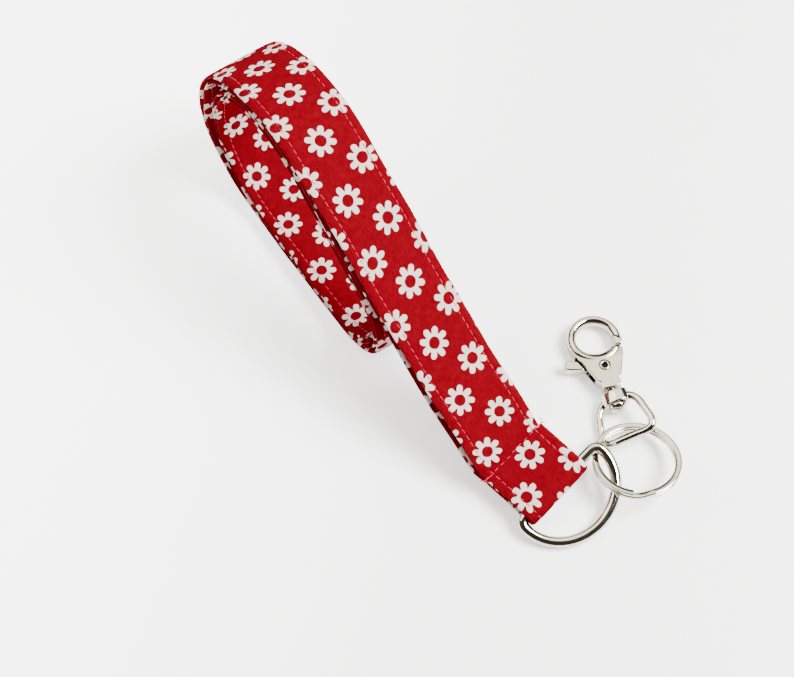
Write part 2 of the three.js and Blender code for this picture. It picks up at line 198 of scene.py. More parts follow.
def caps(count, around):
    """The faces that close the first and the last of the rings."""
    return [tuple(range(around))[::-1], tuple(range((count - 1) * around, count * around))]


def circle(radius, sides=32):
    angle = np.linspace(0, 2 * math.pi, sides, endpoint=False)
    return np.column_stack([radius * np.cos(angle), radius * np.sin(angle)])


def make_object(name, vertices, faces, material, smooth_shading=True):
    """A mesh object from millimetre vertices."""
    mesh = bpy.data.meshes.new(name)
    mesh.from_pydata((np.asarray(vertices, float) * MM).tolist(), [], faces)
    mesh.polygons.foreach_set("use_smooth", [smooth_shading] * len(mesh.polygons))
    mesh.materials.append(material)
    mesh.update()
    piece = bpy.data.objects.new(name, mesh)
    bpy.context.scene.collection.objects.link(piece)
    return piece


# -------- shader nodes
class Nodes:
    """Builds nodes in a tree. Every method takes sockets or plain values and returns a socket."""

    def __init__(self, tree):
        self.tree = tree

    def put(self, value, socket):
        if isinstance(value, bpy.types.NodeSocket):
            self.tree.links.new(value, socket)
        else:
            socket.default_value = value

    def fill(self, node, *values):
        for value, socket in zip(values, node.inputs):
            self.put(value, socket)
        return node.outputs[0]

    def math(self, operation, *values):
        node = self.tree.nodes.new("ShaderNodeMath")
        node.operation = operation
        return self.fill(node, *values)

    def weighed(self, x, a, y, b):
        """x times a, plus y times b."""
        return self.math("ADD", self.math("MULTIPLY", x, a), self.math("MULTIPLY", y, b))

    def length(self, x, y):
        return self.math("SQRT", self.weighed(x, x, y, y))

    def past_whole(self, value):
        """How far a value is past the nearest whole number."""
        return self.math("SUBTRACT", value, self.math("ROUND", value))

    def dot(self, a, b):
        node = self.tree.nodes.new("ShaderNodeVectorMath")
        node.operation = "DOT_PRODUCT"
        self.fill(node, a, b)
        return node.outputs["Value"]

    def ramp(self, value, low, high, start=0.0, end=1.0):
        node = self.tree.nodes.new("ShaderNodeMapRange")
        node.interpolation_type = "SMOOTHSTEP"
        return self.fill(node, value, low, high, start, end)

    def mix(self, factor, a, b):
        node = self.tree.nodes.new("ShaderNodeMix")
        node.data_type = "RGBA"
        self.put(factor, node.inputs[0])
        self.put(a, node.inputs[6])
        self.put(b, node.inputs[7])
        return node.outputs[2]

    def combine(self, x, y):
        return self.fill(self.tree.nodes.new("ShaderNodeCombineXYZ"), x, y)

    def split(self, vector):
        """The first two parts of a vector."""
        node = self.tree.nodes.new("ShaderNodeSeparateXYZ")
        self.fill(node, vector)
        return node.outputs[0], node.outputs[1]

    def noise(self, vector, scale, detail=2.0, distortion=0.0):
        node = self.tree.nodes.new("ShaderNodeTexNoise")
        self.put(vector, node.inputs["Vector"])
        node.inputs["Scale"].default_value = scale
        node.inputs["Detail"].default_value = detail
        node.inputs["Distortion"].default_value = distortion
        return node.outputs["Fac"]


class Shader(Nodes):
    """A new material and its nodes."""

    def __init__(self, name):
        self.material = bpy.data.materials.new(name)
        self.material.use_nodes = True
        super().__init__(self.material.node_tree)
        self.surface = self.tree.nodes["Principled BSDF"]

    def position(self):
        return self.tree.nodes.new("ShaderNodeTexCoord").outputs["Object"]

    def cloth_place(self, layer):
        """Millimetres along and across the cloth, from one of its UV layers."""
        node = self.tree.nodes.new("ShaderNodeUVMap")
        node.uv_map = layer
        return tuple(self.math("DIVIDE", part, MM) for part in self.split(node.outputs[0]))

    def bump(self, height, distance, strength=1.0, after=None):
        node = self.tree.nodes.new("ShaderNodeBump")
        node.inputs["Strength"].default_value = strength
        node.inputs["Distance"].default_value = distance
        self.tree.links.new(height, node.inputs["Height"])
        if after:
            self.tree.links.new(after, node.inputs["Normal"])
        return node.outputs[0]

    def set(self, **values):
        for name, value in values.items():
            self.put(value, self.surface.inputs[name.replace("_", " ")])


RED = (0.152, 0.001, 0.006, 1)
DARK_RED = (0.1, 0.0005, 0.0035, 1)
WHITE = (0.74, 0.64, 0.585, 1)
SHADED_WHITE = (0.6, 0.5, 0.45, 1)
# Painted shade for the gaps between the yarns.
YARN_GAP_SHADE = (0.04, 0.0, 0.001, 1)
RUBBED_RED = (0.4, 0.05, 0.06, 1)
THREAD_PINK = (0.5, 0.035, 0.07, 1)
# Painted shade for the grooves between the thread's twists.
THREAD_TWIST_SHADE = (0.32, 0.012, 0.035, 1)

# The print: daisies on a slightly skewed square lattice. Steps are (along, across) in millimetres.
# The outer cloth was cut a little off the grain, and the inner cloth straighter.
OUTER_STEPS = ((7.53, -9.38), (9.14, 7.55))
INNER_STEPS = ((9.4, -7.9), (9.3, 7.6))
OUTER_DAISY = (10.19, -2.83)
INNER_DAISY = (9.3, -6.5)
PETALS = 8
PETAL_TURN = 12.3  # degrees from the strap's length to a petal
PETAL_TIP = 3.4
PETAL_ROOT = 1.9
PETAL_HALF_WIDTH = 0.84
DAISY_RING = 2.5
DAISY_EYE = 1.65
PRINT_EDGE = 0.07
YARN = 0.3


def printed_cotton(name, step_a, step_b):
    """Red plain weave with white daisies, one at each crossing of the lattice."""
    shader = Shader(name)
    m = shader.math
    along, across = shader.cloth_place("strap")
    print_along, print_across = shader.cloth_place("print")
    place = shader.combine(along, across)

    # The ink's edge wanders a little with the yarns.
    x, y = (
        m("ADD", straight, m("MULTIPLY", m("SUBTRACT", shader.noise(where, 1.1, 1), 0.5), 0.3))
        for straight, where in ((print_along, place), (print_across, shader.combine(across, along)))
    )

    # Steps along each side of the lattice, then the distance from the nearest daisy's centre.
    area = step_a[0] * step_b[1] - step_a[1] * step_b[0]
    a = shader.past_whole(m("DIVIDE", shader.weighed(x, step_b[1], y, -step_b[0]), area))
    b = shader.past_whole(m("DIVIDE", shader.weighed(y, step_a[0], x, -step_a[1]), area))
    dx, dy = (shader.weighed(a, of_a, b, of_b) for of_a, of_b in zip(step_a, step_b))
    radius = shader.length(dx, dy)

    # Each petal is a rounded bar from the ring outwards.
    slice_angle = 2 * math.pi / PETALS
    turned = m("DIVIDE", m("SUBTRACT", m("ARCTAN2", dy, dx), math.radians(PETAL_TURN)), slice_angle)
    from_petal = m("MULTIPLY", shader.past_whole(turned), slice_angle)
    petal_x = m("MULTIPLY", radius, m("COSINE", from_petal))
    petal_y = m("MULTIPLY", radius, m("SINE", from_petal))
    beyond = m("SUBTRACT", petal_x, m("MINIMUM", m("MAXIMUM", petal_x, PETAL_ROOT), PETAL_TIP))
    petal = m("SUBTRACT", shader.length(beyond, petal_y), PETAL_HALF_WIDTH)
    flower = m("MINIMUM", petal, m("SUBTRACT", radius, DAISY_RING))
    flower = m("MAXIMUM", flower, m("SUBTRACT", DAISY_EYE, radius))
    white = shader.ramp(flower, -PRINT_EDGE, PRINT_EDGE, 1.0, 0.0)

    # Plain weave: yarns cross over and under at every step, with painted shade darkening the gaps between
    # them.
    warp, weft = (m("SINE", m("MULTIPLY", part, math.pi / YARN)) for part in (along, across))
    weave = m("ABSOLUTE", m("MULTIPLY", warp, weft))
    slub = shader.noise(shader.combine(m("MULTIPLY", along, 0.25), across), 2.6, 3)
    mottle = shader.noise(place, 0.35, 4)
    tone = shader.ramp(shader.weighed(slub, 0.72, mottle, 0.28), 0.3, 0.7)
    colour = shader.mix(white, shader.mix(tone, DARK_RED, RED), shader.mix(tone, SHADED_WHITE, WHITE))
    # Painted shade: the gaps between the yarns are darkened.
    shaded = shader.mix(m("MULTIPLY", m("SUBTRACT", 1.0, weave), 0.32), colour, YARN_GAP_SHADE)

    # The folded edges are rubbed paler.
    from_fold = m("ABSOLUTE", m("SUBTRACT", m("ABSOLUTE", across), STRAP_WIDTH / 2 + 0.2))
    rub = shader.ramp(from_fold, 0.0, 0.7, 0.22, 0.0)
    worn = m("MULTIPLY", rub, shader.ramp(slub, 0.35, 0.65))
    shaded = shader.mix(worn, shaded, RUBBED_RED)

    fine = shader.bump(shader.weighed(weave, 0.7, slub, 0.6), 0.00006, 0.7)
    creased = shader.bump(shader.noise(place, 0.16, 3, 0.4), 0.0006, 0.35, fine)
    shader.set(Base_Color=shaded, Normal=creased)
    shader.set(Roughness=shader.ramp(slub, 0.2, 0.8, 0.72, 0.92))
    shader.set(Sheen_Weight=0.012, Sheen_Roughness=0.5, Sheen_Tint=(1, 0.2, 0.25, 1), Specular_IOR_Level=0.0)
    return shader.material


def sewing_thread():
    """Pink thread, with painted shade between its twists."""
    shader = Shader("sewing_thread")
    place = shader.position()
    twist = shader.noise(place, 3500, 2)
    colour = shader.mix(shader.ramp(twist, 0.35, 0.65), THREAD_TWIST_SHADE, THREAD_PINK)
    shader.set(Base_Color=colour, Normal=shader.bump(twist, 0.00005, 0.6))
    shader.set(Roughness=shader.ramp(twist, 0.3, 0.7, 0.45, 0.7))
    shader.set(Sheen_Weight=0.02, Sheen_Tint=(1, 0.3, 0.5, 1), Specular_IOR_Level=0.03)
    return shader.material


def nickel(name, base, dull, roughness):
    """Bright plate, with faint polishing marks and duller patches where it is handled."""
    shader = Shader(name)
    place = shader.position()
    patches = shader.noise(place, 260, 4, 0.6)
    marks = shader.noise(place, 5200, 2)
    colour = shader.mix(shader.ramp(patches, 0.35, 0.75, 0.0, 0.6), base, dull)
    rough = shader.ramp(patches, 0.3, 0.8, roughness, roughness + 0.06)
    rough = shader.math("ADD", rough, shader.math("MULTIPLY", marks, 0.04))
    shader.set(Base_Color=colour, Roughness=rough, Normal=shader.bump(marks, 0.00001, 0.5))
    shader.set(Metallic=1.0)
    return shader.material


outer_cotton = printed_cotton("printed_cotton", *OUTER_STEPS)
inner_cotton = printed_cotton("printed_cotton_inner", *INNER_STEPS)
thread = sewing_thread()
plate = nickel("nickel_plate", (0.54, 0.515, 0.425, 1), (0.46, 0.435, 0.355, 1), 0.05)
# Near-black plate, painted as the shade inside the rivet's bore.
bore_shade_plate = nickel("painted_shade_in_bore", (0.05, 0.045, 0.04, 1), (0.02, 0.018, 0.016, 1), 0.5)
spring_steel = nickel("spring_steel", (0.52, 0.52, 0.5, 1), (0.4, 0.4, 0.38, 1), 0.28)


# -------- strap: the loop's side views
# A side view is rows of x, z and the direction of travel. The front face is on the right of the travel.
def arc(x, z, radius, start, end):
    steps = max(3, math.ceil(abs(math.radians(end - start)) * radius / RING_STEP))
    angle = np.radians(np.linspace(start, end, steps + 1))
    out = np.column_stack([np.cos(angle), np.sin(angle)])
    way = np.sign(end - start)
    return np.hstack([(x, z) + radius * out, way * out[:, ::-1] * (-1, 1)])


def bezier(p0, p1, p2, p3):
    p0, p1, p2, p3 = (np.array(p, float) for p in (p0, p1, p2, p3))
    steps = max(3, math.ceil(np.linalg.norm(p3 - p0) / RING_STEP))
    t = np.linspace(0, 1, steps + 1)[:, None]
    points = (1 - t) ** 3 * p0 + 3 * t * (1 - t) ** 2 * p1 + 3 * t * t * (1 - t) * p2 + t**3 * p3
    slope = 3 * (1 - t) ** 2 * (p1 - p0) + 6 * t * (1 - t) * (p2 - p1) + 3 * t * t * (p3 - p2)
    return np.hstack([points, unit(slope)])


def line(*ends):
    start, end = np.array(ends, float).reshape(2, 2)
    third = (end - start) / 3
    return bezier(start, start + third, end - third, end)


def joined(*parts):
    return np.vstack([parts[0]] + [part[1:] for part in parts[1:]])


def heading(degrees):
    return np.array([math.cos(math.radians(degrees)), math.sin(math.radians(degrees))])


run_angle = 90 - RUN_SLOPE
run_normal = heading(run_angle)
down_run = np.array([run_normal[1], -run_normal[0]])
crown_top = HEEL_RADIUS + SHOULDER_RADIUS
crown_x = -FLAT_LENGTH / 2 - HEEL_RADIUS + SHOULDER_RADIUS
crown_centre = np.array([crown_x, crown_top - CROWN_RADIUS])
run_start = crown_centre + CROWN_RADIUS * run_normal
turn_depth = 2 * PITCH + TURN_SLACK
toe_x = FLAT_LENGTH / 2
toe_radius = ((run_start - (toe_x, 0)) @ run_normal - turn_depth) / (1 + run_normal[1])
inner_shoulder_z = crown_top - turn_depth - INNER_SHOULDER_RADIUS
inner_floor = 2 * PITCH
inner_heel_radius = inner_shoulder_z - inner_floor
toe_end = np.array([toe_x, toe_radius]) + toe_radius * run_normal
inner_heel_x = crown_x - INNER_SHOULDER_RADIUS + inner_heel_radius


def coil_side(depth):
    """From the top of the crown, left and round both turns, at a depth below the outer faces."""
    second_crown = crown_centre + (CROWN_RADIUS - turn_depth - depth) * run_normal
    return joined(
        arc(crown_x, HEEL_RADIUS, SHOULDER_RADIUS - depth, 90, 180),
        arc(-FLAT_LENGTH / 2, HEEL_RADIUS, HEEL_RADIUS - depth, 180, 270),
        line(-FLAT_LENGTH / 2, depth, toe_x, depth),
        arc(toe_x, toe_radius, toe_radius - depth, -90, run_angle),
        line(*(toe_end - depth * run_normal), *second_crown),
        arc(*crown_centre, CROWN_RADIUS - turn_depth - depth, run_angle, 90),
        arc(crown_x, inner_shoulder_z, INNER_SHOULDER_RADIUS - depth, 90, 180),
        arc(inner_heel_x, inner_shoulder_z, inner_heel_radius - depth, 180, 270),
        line(inner_heel_x, inner_floor + depth, toe_x, inner_floor + depth),
        arc(toe_x, toe_radius, toe_radius - inner_floor - depth, -90, INNER_TOE_ARC - 90),
    )


def end_fold_side():
    """Where the outer ply of the second turn turns back as the inner ply."""
    radius = toe_radius - inner_floor - PLY - GAP / 2
    angle = INNER_TOE_ARC - 90 + math.degrees(GAP / radius)
    return arc(*((toe_x, toe_radius) + radius * heading(angle)), PITCH / 2, angle, angle + 180)


def lower_run_side(start, end):
    """Down the lower ply in the run's own frame, with its sag."""
    sag_start = 0.36 * RUN_LENGTH
    middle = (sag_start + RUN_LENGTH) / 2
    z = -PITCH - MIDDLE
    low = z - LOWER_PLY_SAG
    whole = joined(
        line(0, z, sag_start, z),
        bezier((sag_start, z), (middle - 12, z), (middle - 12, low), (middle, low)),
        bezier((middle, low), (middle + 12, low), (RUN_LENGTH - 10, z), (RUN_LENGTH, z)),
        line(RUN_LENGTH, z, RUN_LENGTH + 4, z),
    )
    x = whole[:, 0]
    distance = np.concatenate([[start], x[(x > start) & (x < end)], [end]])
    return np.column_stack([distance, *(np.interp(distance, x, column) for column in whole.T[1:])])


# -------- strap: cross-sections in space
# Rings are arrays of 3 by 3. Each ring is a centre, a front normal and a direction across.
CENTRE, NORMAL, ACROSS = 0, 1, 2


def placed(side, origin, turn, shift=0.0):
    """The rings of a side view that is put at an origin, turned and shifted sideways."""
    x, z, way_x, way_z = side.T
    zero, one = np.zeros(len(side)), np.ones(len(side))
    rows = np.column_stack([x, zero + shift, z, way_z, zero, -way_x, zero, one, zero])
    rings = rows.reshape(-1, 3, 3) @ turn.T
    rings[:, CENTRE] += origin
    return rings


def shifted(rings, distance):
    """The rings, each moved across by its own distance."""
    rings[:, CENTRE] += rings[:, ACROSS] * distance[:, None]
    return rings


run_origin = np.array([run_start[0], 0, run_start[1]])
run_turn = rotation(RUN_YAW, RUN_SLOPE, 0)
tab_turn = rotation(TAB_YAW, TAB_DIP, TAB_ROLL)
bar_centre = joint_point("d_ring_swing")

YAW_EASE = 10  # the run's drift to one side eases in over this distance on both sides of its start
SEAM_EASE = 1.6  # the bend at the seam goes this far to both sides of it
seam_middle = run_origin + run_turn @ np.array([RUN_LENGTH, 0, -PITCH + GAP / 2])
SEAM_X = float((seam_middle - bar_centre) @ tab_turn[:, 0])


def crown_and_run(side, distance):
    """A side view near the crown, turned by the run's yaw as far as it is down the run."""
    angle = np.radians(RUN_YAW) * smooth((distance + YAW_EASE) / (2 * YAW_EASE))
    c, s = np.cos(angle)[:, None], np.sin(angle)[:, None]
    x, y, z = np.moveaxis(placed(side, -run_origin, np.eye(3)), 2, 0)
    rings = np.stack([x * c - y * s, x * s + y * c, z], axis=2)
    rings[:, CENTRE] += run_origin
    return rings


def upper_crown():
    """From the cut in the run up to the top of the crown, along the outer ply."""
    start = run_start - MIDDLE * run_normal
    rise = line(*(start + RUN_CUT * down_run), *start)
    side = joined(rise, arc(*crown_centre, CROWN_RADIUS - MIDDLE, run_angle, 90))
    return crown_and_run(side, (side[:, :2] - run_start) @ down_run)


def lower_crown():
    """From the top of the crown down to the cut in the run, along the inner ply."""
    bend = arc(*crown_centre, CROWN_RADIUS - PITCH - MIDDLE, 90, run_angle)
    local = lower_run_side(0, RUN_CUT)
    turn = np.array([down_run, run_normal])
    side = joined(bend, np.hstack([run_start + local[:, :2] @ turn, local[:, 2:] @ turn]))
    distance = (side[:, :2] - run_start) @ down_run
    return shifted(crown_and_run(side, distance), LOWER_PLY_SHIFT * smooth(distance / 20))


def faded(first, second):
    """Two sets of rings of equal length, going over from the first to the second."""
    share = smooth(np.linspace(0, 1, len(first)))[:, None, None]
    mixed = first * (1 - share) + second * share
    mixed[:, NORMAL:] = unit(mixed[:, NORMAL:])
    return mixed


def tab_loop():
    """Down the lower ply, round the D-ring's bar and back up the upper ply."""
    level = PITCH / 2
    fold = D_WIRE + BAR_ROOM + MIDDLE
    ease = np.linspace(-SEAM_EASE, SEAM_EASE, 9)

    def at(x, z, way):
        return np.column_stack([x, *(np.full(len(x), value) for value in (z, way, 0.0))])

    in_run = run_origin, run_turn
    in_tab = bar_centre, tab_turn
    down = placed(lower_run_side(RUN_CUT, RUN_LENGTH - SEAM_EASE - 0.2), *in_run, LOWER_PLY_SHIFT)
    low_from = placed(at(RUN_LENGTH + ease, -PITCH - MIDDLE, 1.0), *in_run, LOWER_PLY_SHIFT)
    low_to = placed(at(SEAM_X + ease, -level, 1.0), *in_tab, LOWER_PLY_SHIFT / 2)
    start = SEAM_X + SEAM_EASE + 0.4
    around = joined(
        bezier((start, -level), (-TAB_LENGTH / 2, -level), (-5, -fold), (0, -fold)),
        arc(0, 0, fold, -90, 90),
        bezier((0, fold), (-5, fold), (-TAB_LENGTH / 2, level), (start, level)),
    )
    bend = placed(around, *in_tab)
    bend = shifted(bend, LOWER_PLY_SHIFT / 2 * (1 - smooth(np.arange(len(bend)) / 20)))
    back = ease[::-1]
    high_from = placed(at(SEAM_X + back, level, -1.0), *in_tab)
    high_to = placed(at(RUN_LENGTH + back, -MIDDLE, -1.0), *in_run)
    up = placed(line(RUN_LENGTH - SEAM_EASE - 0.4, -MIDDLE, RUN_CUT, -MIDDLE), *in_run)
    return np.concatenate([down, faded(low_from, low_to), bend, faded(high_from, high_to), up])


def strap_loop():
    """The whole loop, the index where each piece of it ends, and where the inner cloth starts."""
    outer = coil_side(MIDDLE)
    inner_backwards = coil_side(PITCH + MIDDLE)[::-1] * (1, 1, -1, -1)
    coil = joined(outer, end_fold_side(), inner_backwards)
    parts = [tab_loop(), upper_crown(), placed(coil, np.zeros(3), np.eye(3)), lower_crown()]
    ends = [int(end) for end in np.cumsum([len(part) for part in parts])]
    return np.concatenate(parts), ends, ends[1] + len(outer) + 3


loop, piece_ends, fold_start = strap_loop()
centres = loop[:, CENTRE]
steps = np.linalg.norm(np.diff(centres, axis=0, append=centres[:1]), axis=1)
travel = np.concatenate([[0], np.cumsum(steps)[:-1]])

# Distance down the strap from where the run leaves the crown, and for the inner ply from the coil's middle.
from_run_top = np.linalg.norm(centres[piece_ends[0] : piece_ends[1]] - run_origin, axis=1)
run_top = piece_ends[0] + int(np.argmin(from_run_top))
along = travel[run_top] - travel
inner_floor_middle = fold_start + int(np.argmin(np.abs(centres[fold_start : fold_start + 300, 0])))
along[fold_start:] -= along[inner_floor_middle]


def print_place(distance, across, inner):
    """Where a point of the cloth is in the print. The outer cloth's grain bends a little down the run."""
    if inner:
        return distance - INNER_DAISY[0], across - INNER_DAISY[1]
    t = np.clip(distance / 50, -0.75, 1.9)
    bent_along = 3.68 * t**2 - 1.69 * t**3
    bent_across = 2.39 * t**3 - 5.26 * t**2
    return distance - bent_along - OUTER_DAISY[0], across - bent_across - OUTER_DAISY[1]


# Cloth is never quite straight: it drifts sideways, and its plies aren't quite level.
in_coil = smooth((travel - travel[run_top] - 25) / 20) * smooth((travel[-1] - travel - 25) / 20)
run_bow = smooth((along - 18) / 22) * (1 - smooth((along - 62) / 22)) * (travel < travel[run_top])
drift = wander(travel, 1, 34) * (0.08 + 0.35 * in_coil) + wander(travel, 2, 9) * 0.1 - 0.7 * run_bow
lift = wander(travel, 3, 17) * 0.07
loop[:, CENTRE] += loop[:, ACROSS] * drift[:, None] + loop[:, NORMAL] * lift[:, None]


# -------- strap: the cloth's section
EDGE_RADIUS = 0.55
STITCH_LINE = STRAP_WIDTH / 2 - STITCH_INSET
STITCH_DENT = 0.12
STITCH_DENT_WIDTH = 0.5
PUCKER = 0.045
EDGE_DROP = 0.22  # the cloth thins by this much on each face towards its edges


def section():
    """Points round the ply: distance across, height, and distance round from the front's middle."""
    half = STRAP_WIDTH / 2 - EDGE_RADIUS
    by_stitches = [side * STITCH_LINE + np.linspace(-0.9, 0.9, 7) for side in (-1, 1)]
    front = np.unique(np.concatenate([np.linspace(-half, half, 27), *by_stitches]))
    turn = np.radians(np.linspace(90, -90, 7))[1:-1]
    edge = half + EDGE_RADIUS * math.pi
    rim = [
        (half + EDGE_RADIUS * math.cos(t), MIDDLE * math.sin(t), half + EDGE_RADIUS * (math.pi / 2 - t))
        for t in turn
    ]
    rows = [(y, MIDDLE, y) for y in front] + rim
    rows += [(y, -MIDDLE, math.copysign(edge + half - abs(y), y)) for y in front[::-1]]
    rows += [(-y, z, -p) for y, z, p in rim[::-1]]
    return np.array(rows)


def ribbon(name, first, last):
    """One piece of the loop, closed at both ends. Its UVs are metres along and across the cloth."""
    y, z, p = section().T
    keep = slice(first, last)
    u, way = along[keep], travel[keep]
    count, around = len(u), len(y)
    near_stitch = np.exp(-(((np.abs(y) - STITCH_LINE) / STITCH_DENT_WIDTH) ** 2))
    dent = STITCH_DENT + PUCKER * np.sin(2 * math.pi * way / STITCH_PITCH)
    height = z - np.sign(z) * (near_stitch * dent[:, None] + EDGE_DROP * smooth((np.abs(y) - 8.7) / 2.2))
    edge_wave = 1 + 0.008 * wander(way, 5, 6) + 0.004 * wander(way, 6, 2.5)
    spread = y * edge_wave[:, None]
    centre, normal, across = np.moveaxis(loop[keep, :, None], 1, 0)
    points = (centre + normal * height[..., None] + across * spread[..., None]).reshape(-1, 3)
    piece = make_object(name, points, wall(count, around) + caps(count, around), outer_cotton)
    piece.data.materials.append(inner_cotton)

    # The distance round jumps on the back's middle, so the face there is measured on from its first corner.
    p_next, y_next = np.roll(p, -1), np.roll(y, -1)
    p_next = np.where(np.abs(p_next - p) > STRAP_WIDTH, p + np.copysign(np.abs(y - y_next), p), p_next)
    u0, u1 = np.repeat(u[:-1], around), np.repeat(u[1:], around)
    p0, p1 = np.tile(p, count - 1), np.tile(p_next, count - 1)
    sides = np.column_stack([u0, p0, u0, p1, u1, p1, u1, p0]).reshape(-1, 2)
    first_cap, last_cap = (np.column_stack([np.full(around, end), p]) for end in (u[0], u[-1]))
    places = np.vstack([sides, first_cap[::-1], last_cap])
    inner = np.arange(first, last) >= fold_start
    inner = np.concatenate([np.repeat(inner[:-1], around), inner[[0, -1]]])
    piece.data.polygons.foreach_set("material_index", inner.astype(np.int32))
    corner_inner = np.repeat(inner, [4] * (len(inner) - 2) + [around] * 2)[:, None]
    outer_print, inner_print = (np.column_stack(print_place(*places.T, cloth)) for cloth in (False, True))
    in_print = np.where(corner_inner, inner_print, outer_print)
    for layer_name, rows in (("strap", places), ("print", in_print)):
        layer = piece.data.uv_layers.new(name=layer_name)
        layer.data.foreach_set("uv", (rows * MM).ravel())

    bm = bmesh.new()
    bm.from_mesh(piece.data)
    bmesh.ops.recalc_face_normals(bm, faces=bm.faces)
    for face in bm.faces:
        if len(face.verts) == around:
            for edge in face.edges:
                edge.smooth = False
    bm.to_mesh(piece.data)
    bm.free()
    return piece


def stitch_shape():
    """One stitch: a flat-bellied bead of thread, lying along X. Vertices and faces."""
    sides, stations = 8, np.linspace(0, 1, 6)
    points = []
    for t in stations:
        radius = THREAD_WIDTH / 2 * max(0.25, math.sin(math.pi * (0.06 + 0.88 * t)) ** 0.45)
        sink = 0.09 * (2 * t - 1) ** 4
        points += [((t - 0.5) * STITCH_LENGTH, y, 0.75 * z - sink) for y, z in circle(radius, sides)]
    return np.array(points), wall(len(stations), sides) + caps(len(stations), sides)


def stitches(name, places, tails=()):
    """Stitches at (centre, direction, normal) places, as one piece with any loose ends of thread."""
    bead, bead_faces = stitch_shape()
    shapes = []
    for centre, direction, normal in places:
        x = unit(direction)
        z = unit(normal - x * (normal @ x))
        shapes.append((centre + bead @ np.array([x, np.cross(z, x), z]), bead_faces))
    shapes += tails
    faces, base = [], 0
    for points, shape_faces in shapes:
        faces += [tuple(base + v for v in face) for face in shape_faces]
        base += len(points)
    return make_object(name, np.vstack([points for points, _ in shapes]), faces, thread)


def edge_stitches(first, last):
    """Places of the top-stitching on the front, along both edges of a stretch of the loop."""
    places = []
    for side in (-1, 1):
        wobble = wander(travel, 8 + side, 12) * 0.22
        at = travel[first] + STITCH_PITCH * (0.5 + 0.3 * side)
        while at < travel[last - 1] - STITCH_LENGTH / 2:
            i = min(int(np.searchsorted(travel, at)), last - 2)
            share = (at - travel[i - 1]) / max(travel[i] - travel[i - 1], 1e-6)
            centre, normal, across = loop[i - 1] * (1 - share) + loop[i] * share
            y = side * STITCH_LINE + wobble[i]
            way = unit(loop[i + 1, CENTRE] - loop[i - 1, CENTRE]) + 0.07 * side * loop[i, ACROSS]
            places.append((centre + y * across + (MIDDLE - STITCH_SINK) * normal, way, normal))
            at += STITCH_PITCH
    return places


# -------- tubes and turned shapes
WELD_DISTANCE = 0.002


def tube(points, section_points, closed=False):
    """A section swept along points. section_points are (sideways, up) offsets. Returns vertices and faces."""
    ways = np.roll(points, -1, 0) - np.roll(points, 1, 0)
    if not closed:
        ways[0] = points[1] - points[0]
        ways[-1] = points[-1] - points[-2]
    ways = unit(ways)
    up = np.array([0.0, 0.0, 1.0])
    if abs(ways[0] @ up) > 0.9:
        up = np.array([0.0, 1.0, 0.0])
    vertices = []
    for point, way in zip(points, ways):
        up = unit(up - way * (up @ way))
        aside = np.cross(up, way)
        vertices.append([point + aside * a + up * b for a, b in section_points])
    count, around = len(points), len(section_points)
    faces = wall(count, around, closed) + ([] if closed else caps(count, around))
    return np.array(vertices).reshape(-1, 3), faces


def rounded_bar(width, height, power=3.2, sides=40):
    """A section between an oval and a rectangle. A higher power is squarer."""
    angle = np.linspace(0, 2 * math.pi, sides, endpoint=False)
    c, s = np.cos(angle), np.sin(angle)
    x = np.sign(c) * np.abs(c) ** (2 / power) * width / 2
    y = np.sign(s) * np.abs(s) ** (2 / power) * height / 2
    return np.column_stack([x, y])


def between(a, b, start, end, t):
    """On the line that is at a when t is start, and at b when t is end."""
    return (end - t) / (end - start) * a + (t - start) / (end - start) * b


def curve_through(points, per_span=14):
    """A centripetal Catmull-Rom curve through open points."""
    p = np.asarray(points, float)
    p = np.vstack([2 * p[0] - p[1], p, 2 * p[-1] - p[-2]])
    made = []
    for i in range(1, len(p) - 2):
        k = [0.0]
        for a, b in zip(p[i - 1 : i + 2], p[i : i + 3]):
            k.append(k[-1] + max(np.linalg.norm(b - a) ** 0.5, 1e-6))
        for t in np.linspace(k[1], k[2], per_span, endpoint=False):
            a = [between(p[i - 1 + j], p[i + j], k[j], k[j + 1], t) for j in range(3)]
            b = [between(a[j], a[j + 1], k[j], k[j + 2], t) for j in range(2)]
            made.append(between(*b, k[1], k[2], t))
    made.append(p[-2])
    return np.array(made)


def turned(profile, sides=48):
    """A profile of (x, radius) turned about X. It starts and ends on the axis or closes on itself."""
    closed = profile[0][1] > 0 and profile[-1][1] > 0
    points = [(x, y, z) for x, radius in profile for y, z in circle(radius, sides)]
    return np.array(points), wall(len(profile), sides, closed)


def solid(name, vertices, faces, material=plate, smooth_shading=True):
    """An object whose doubled vertices are joined and whose faces look outwards."""
    piece = make_object(name, vertices, faces, material, smooth_shading)
    bm = bmesh.new()
    bm.from_mesh(piece.data)
    bmesh.ops.remove_doubles(bm, verts=bm.verts, dist=WELD_DISTANCE * MM)
    bmesh.ops.recalc_face_normals(bm, faces=bm.faces)
    bm.to_mesh(piece.data)
    bm.free()
    return piece


def apply_modifiers(piece):
    """Puts the piece's modifiers into its mesh."""
    seen = piece.evaluated_get(bpy.context.evaluated_depsgraph_get())
    mesh = bpy.data.meshes.new_from_object(seen)
    piece.modifiers.clear()
    piece.data = mesh
    return piece


def bevelled(piece, width, segments=4, angle=35):
    modifier = piece.modifiers.new("bevel", "BEVEL")
    modifier.width = width * MM
    modifier.segments = segments
    modifier.angle_limit = math.radians(angle)
    return apply_modifiers(piece)


def combine(piece, others, operation):
    """Joins, cuts or intersects the piece with the other objects, and removes them."""
    for other in others:
        modifier = piece.modifiers.new("boolean", "BOOLEAN")
        modifier.operation = operation
        modifier.solver = "EXACT"
        modifier.object = other
        apply_modifiers(piece)
        bpy.data.objects.remove(other)
    return piece


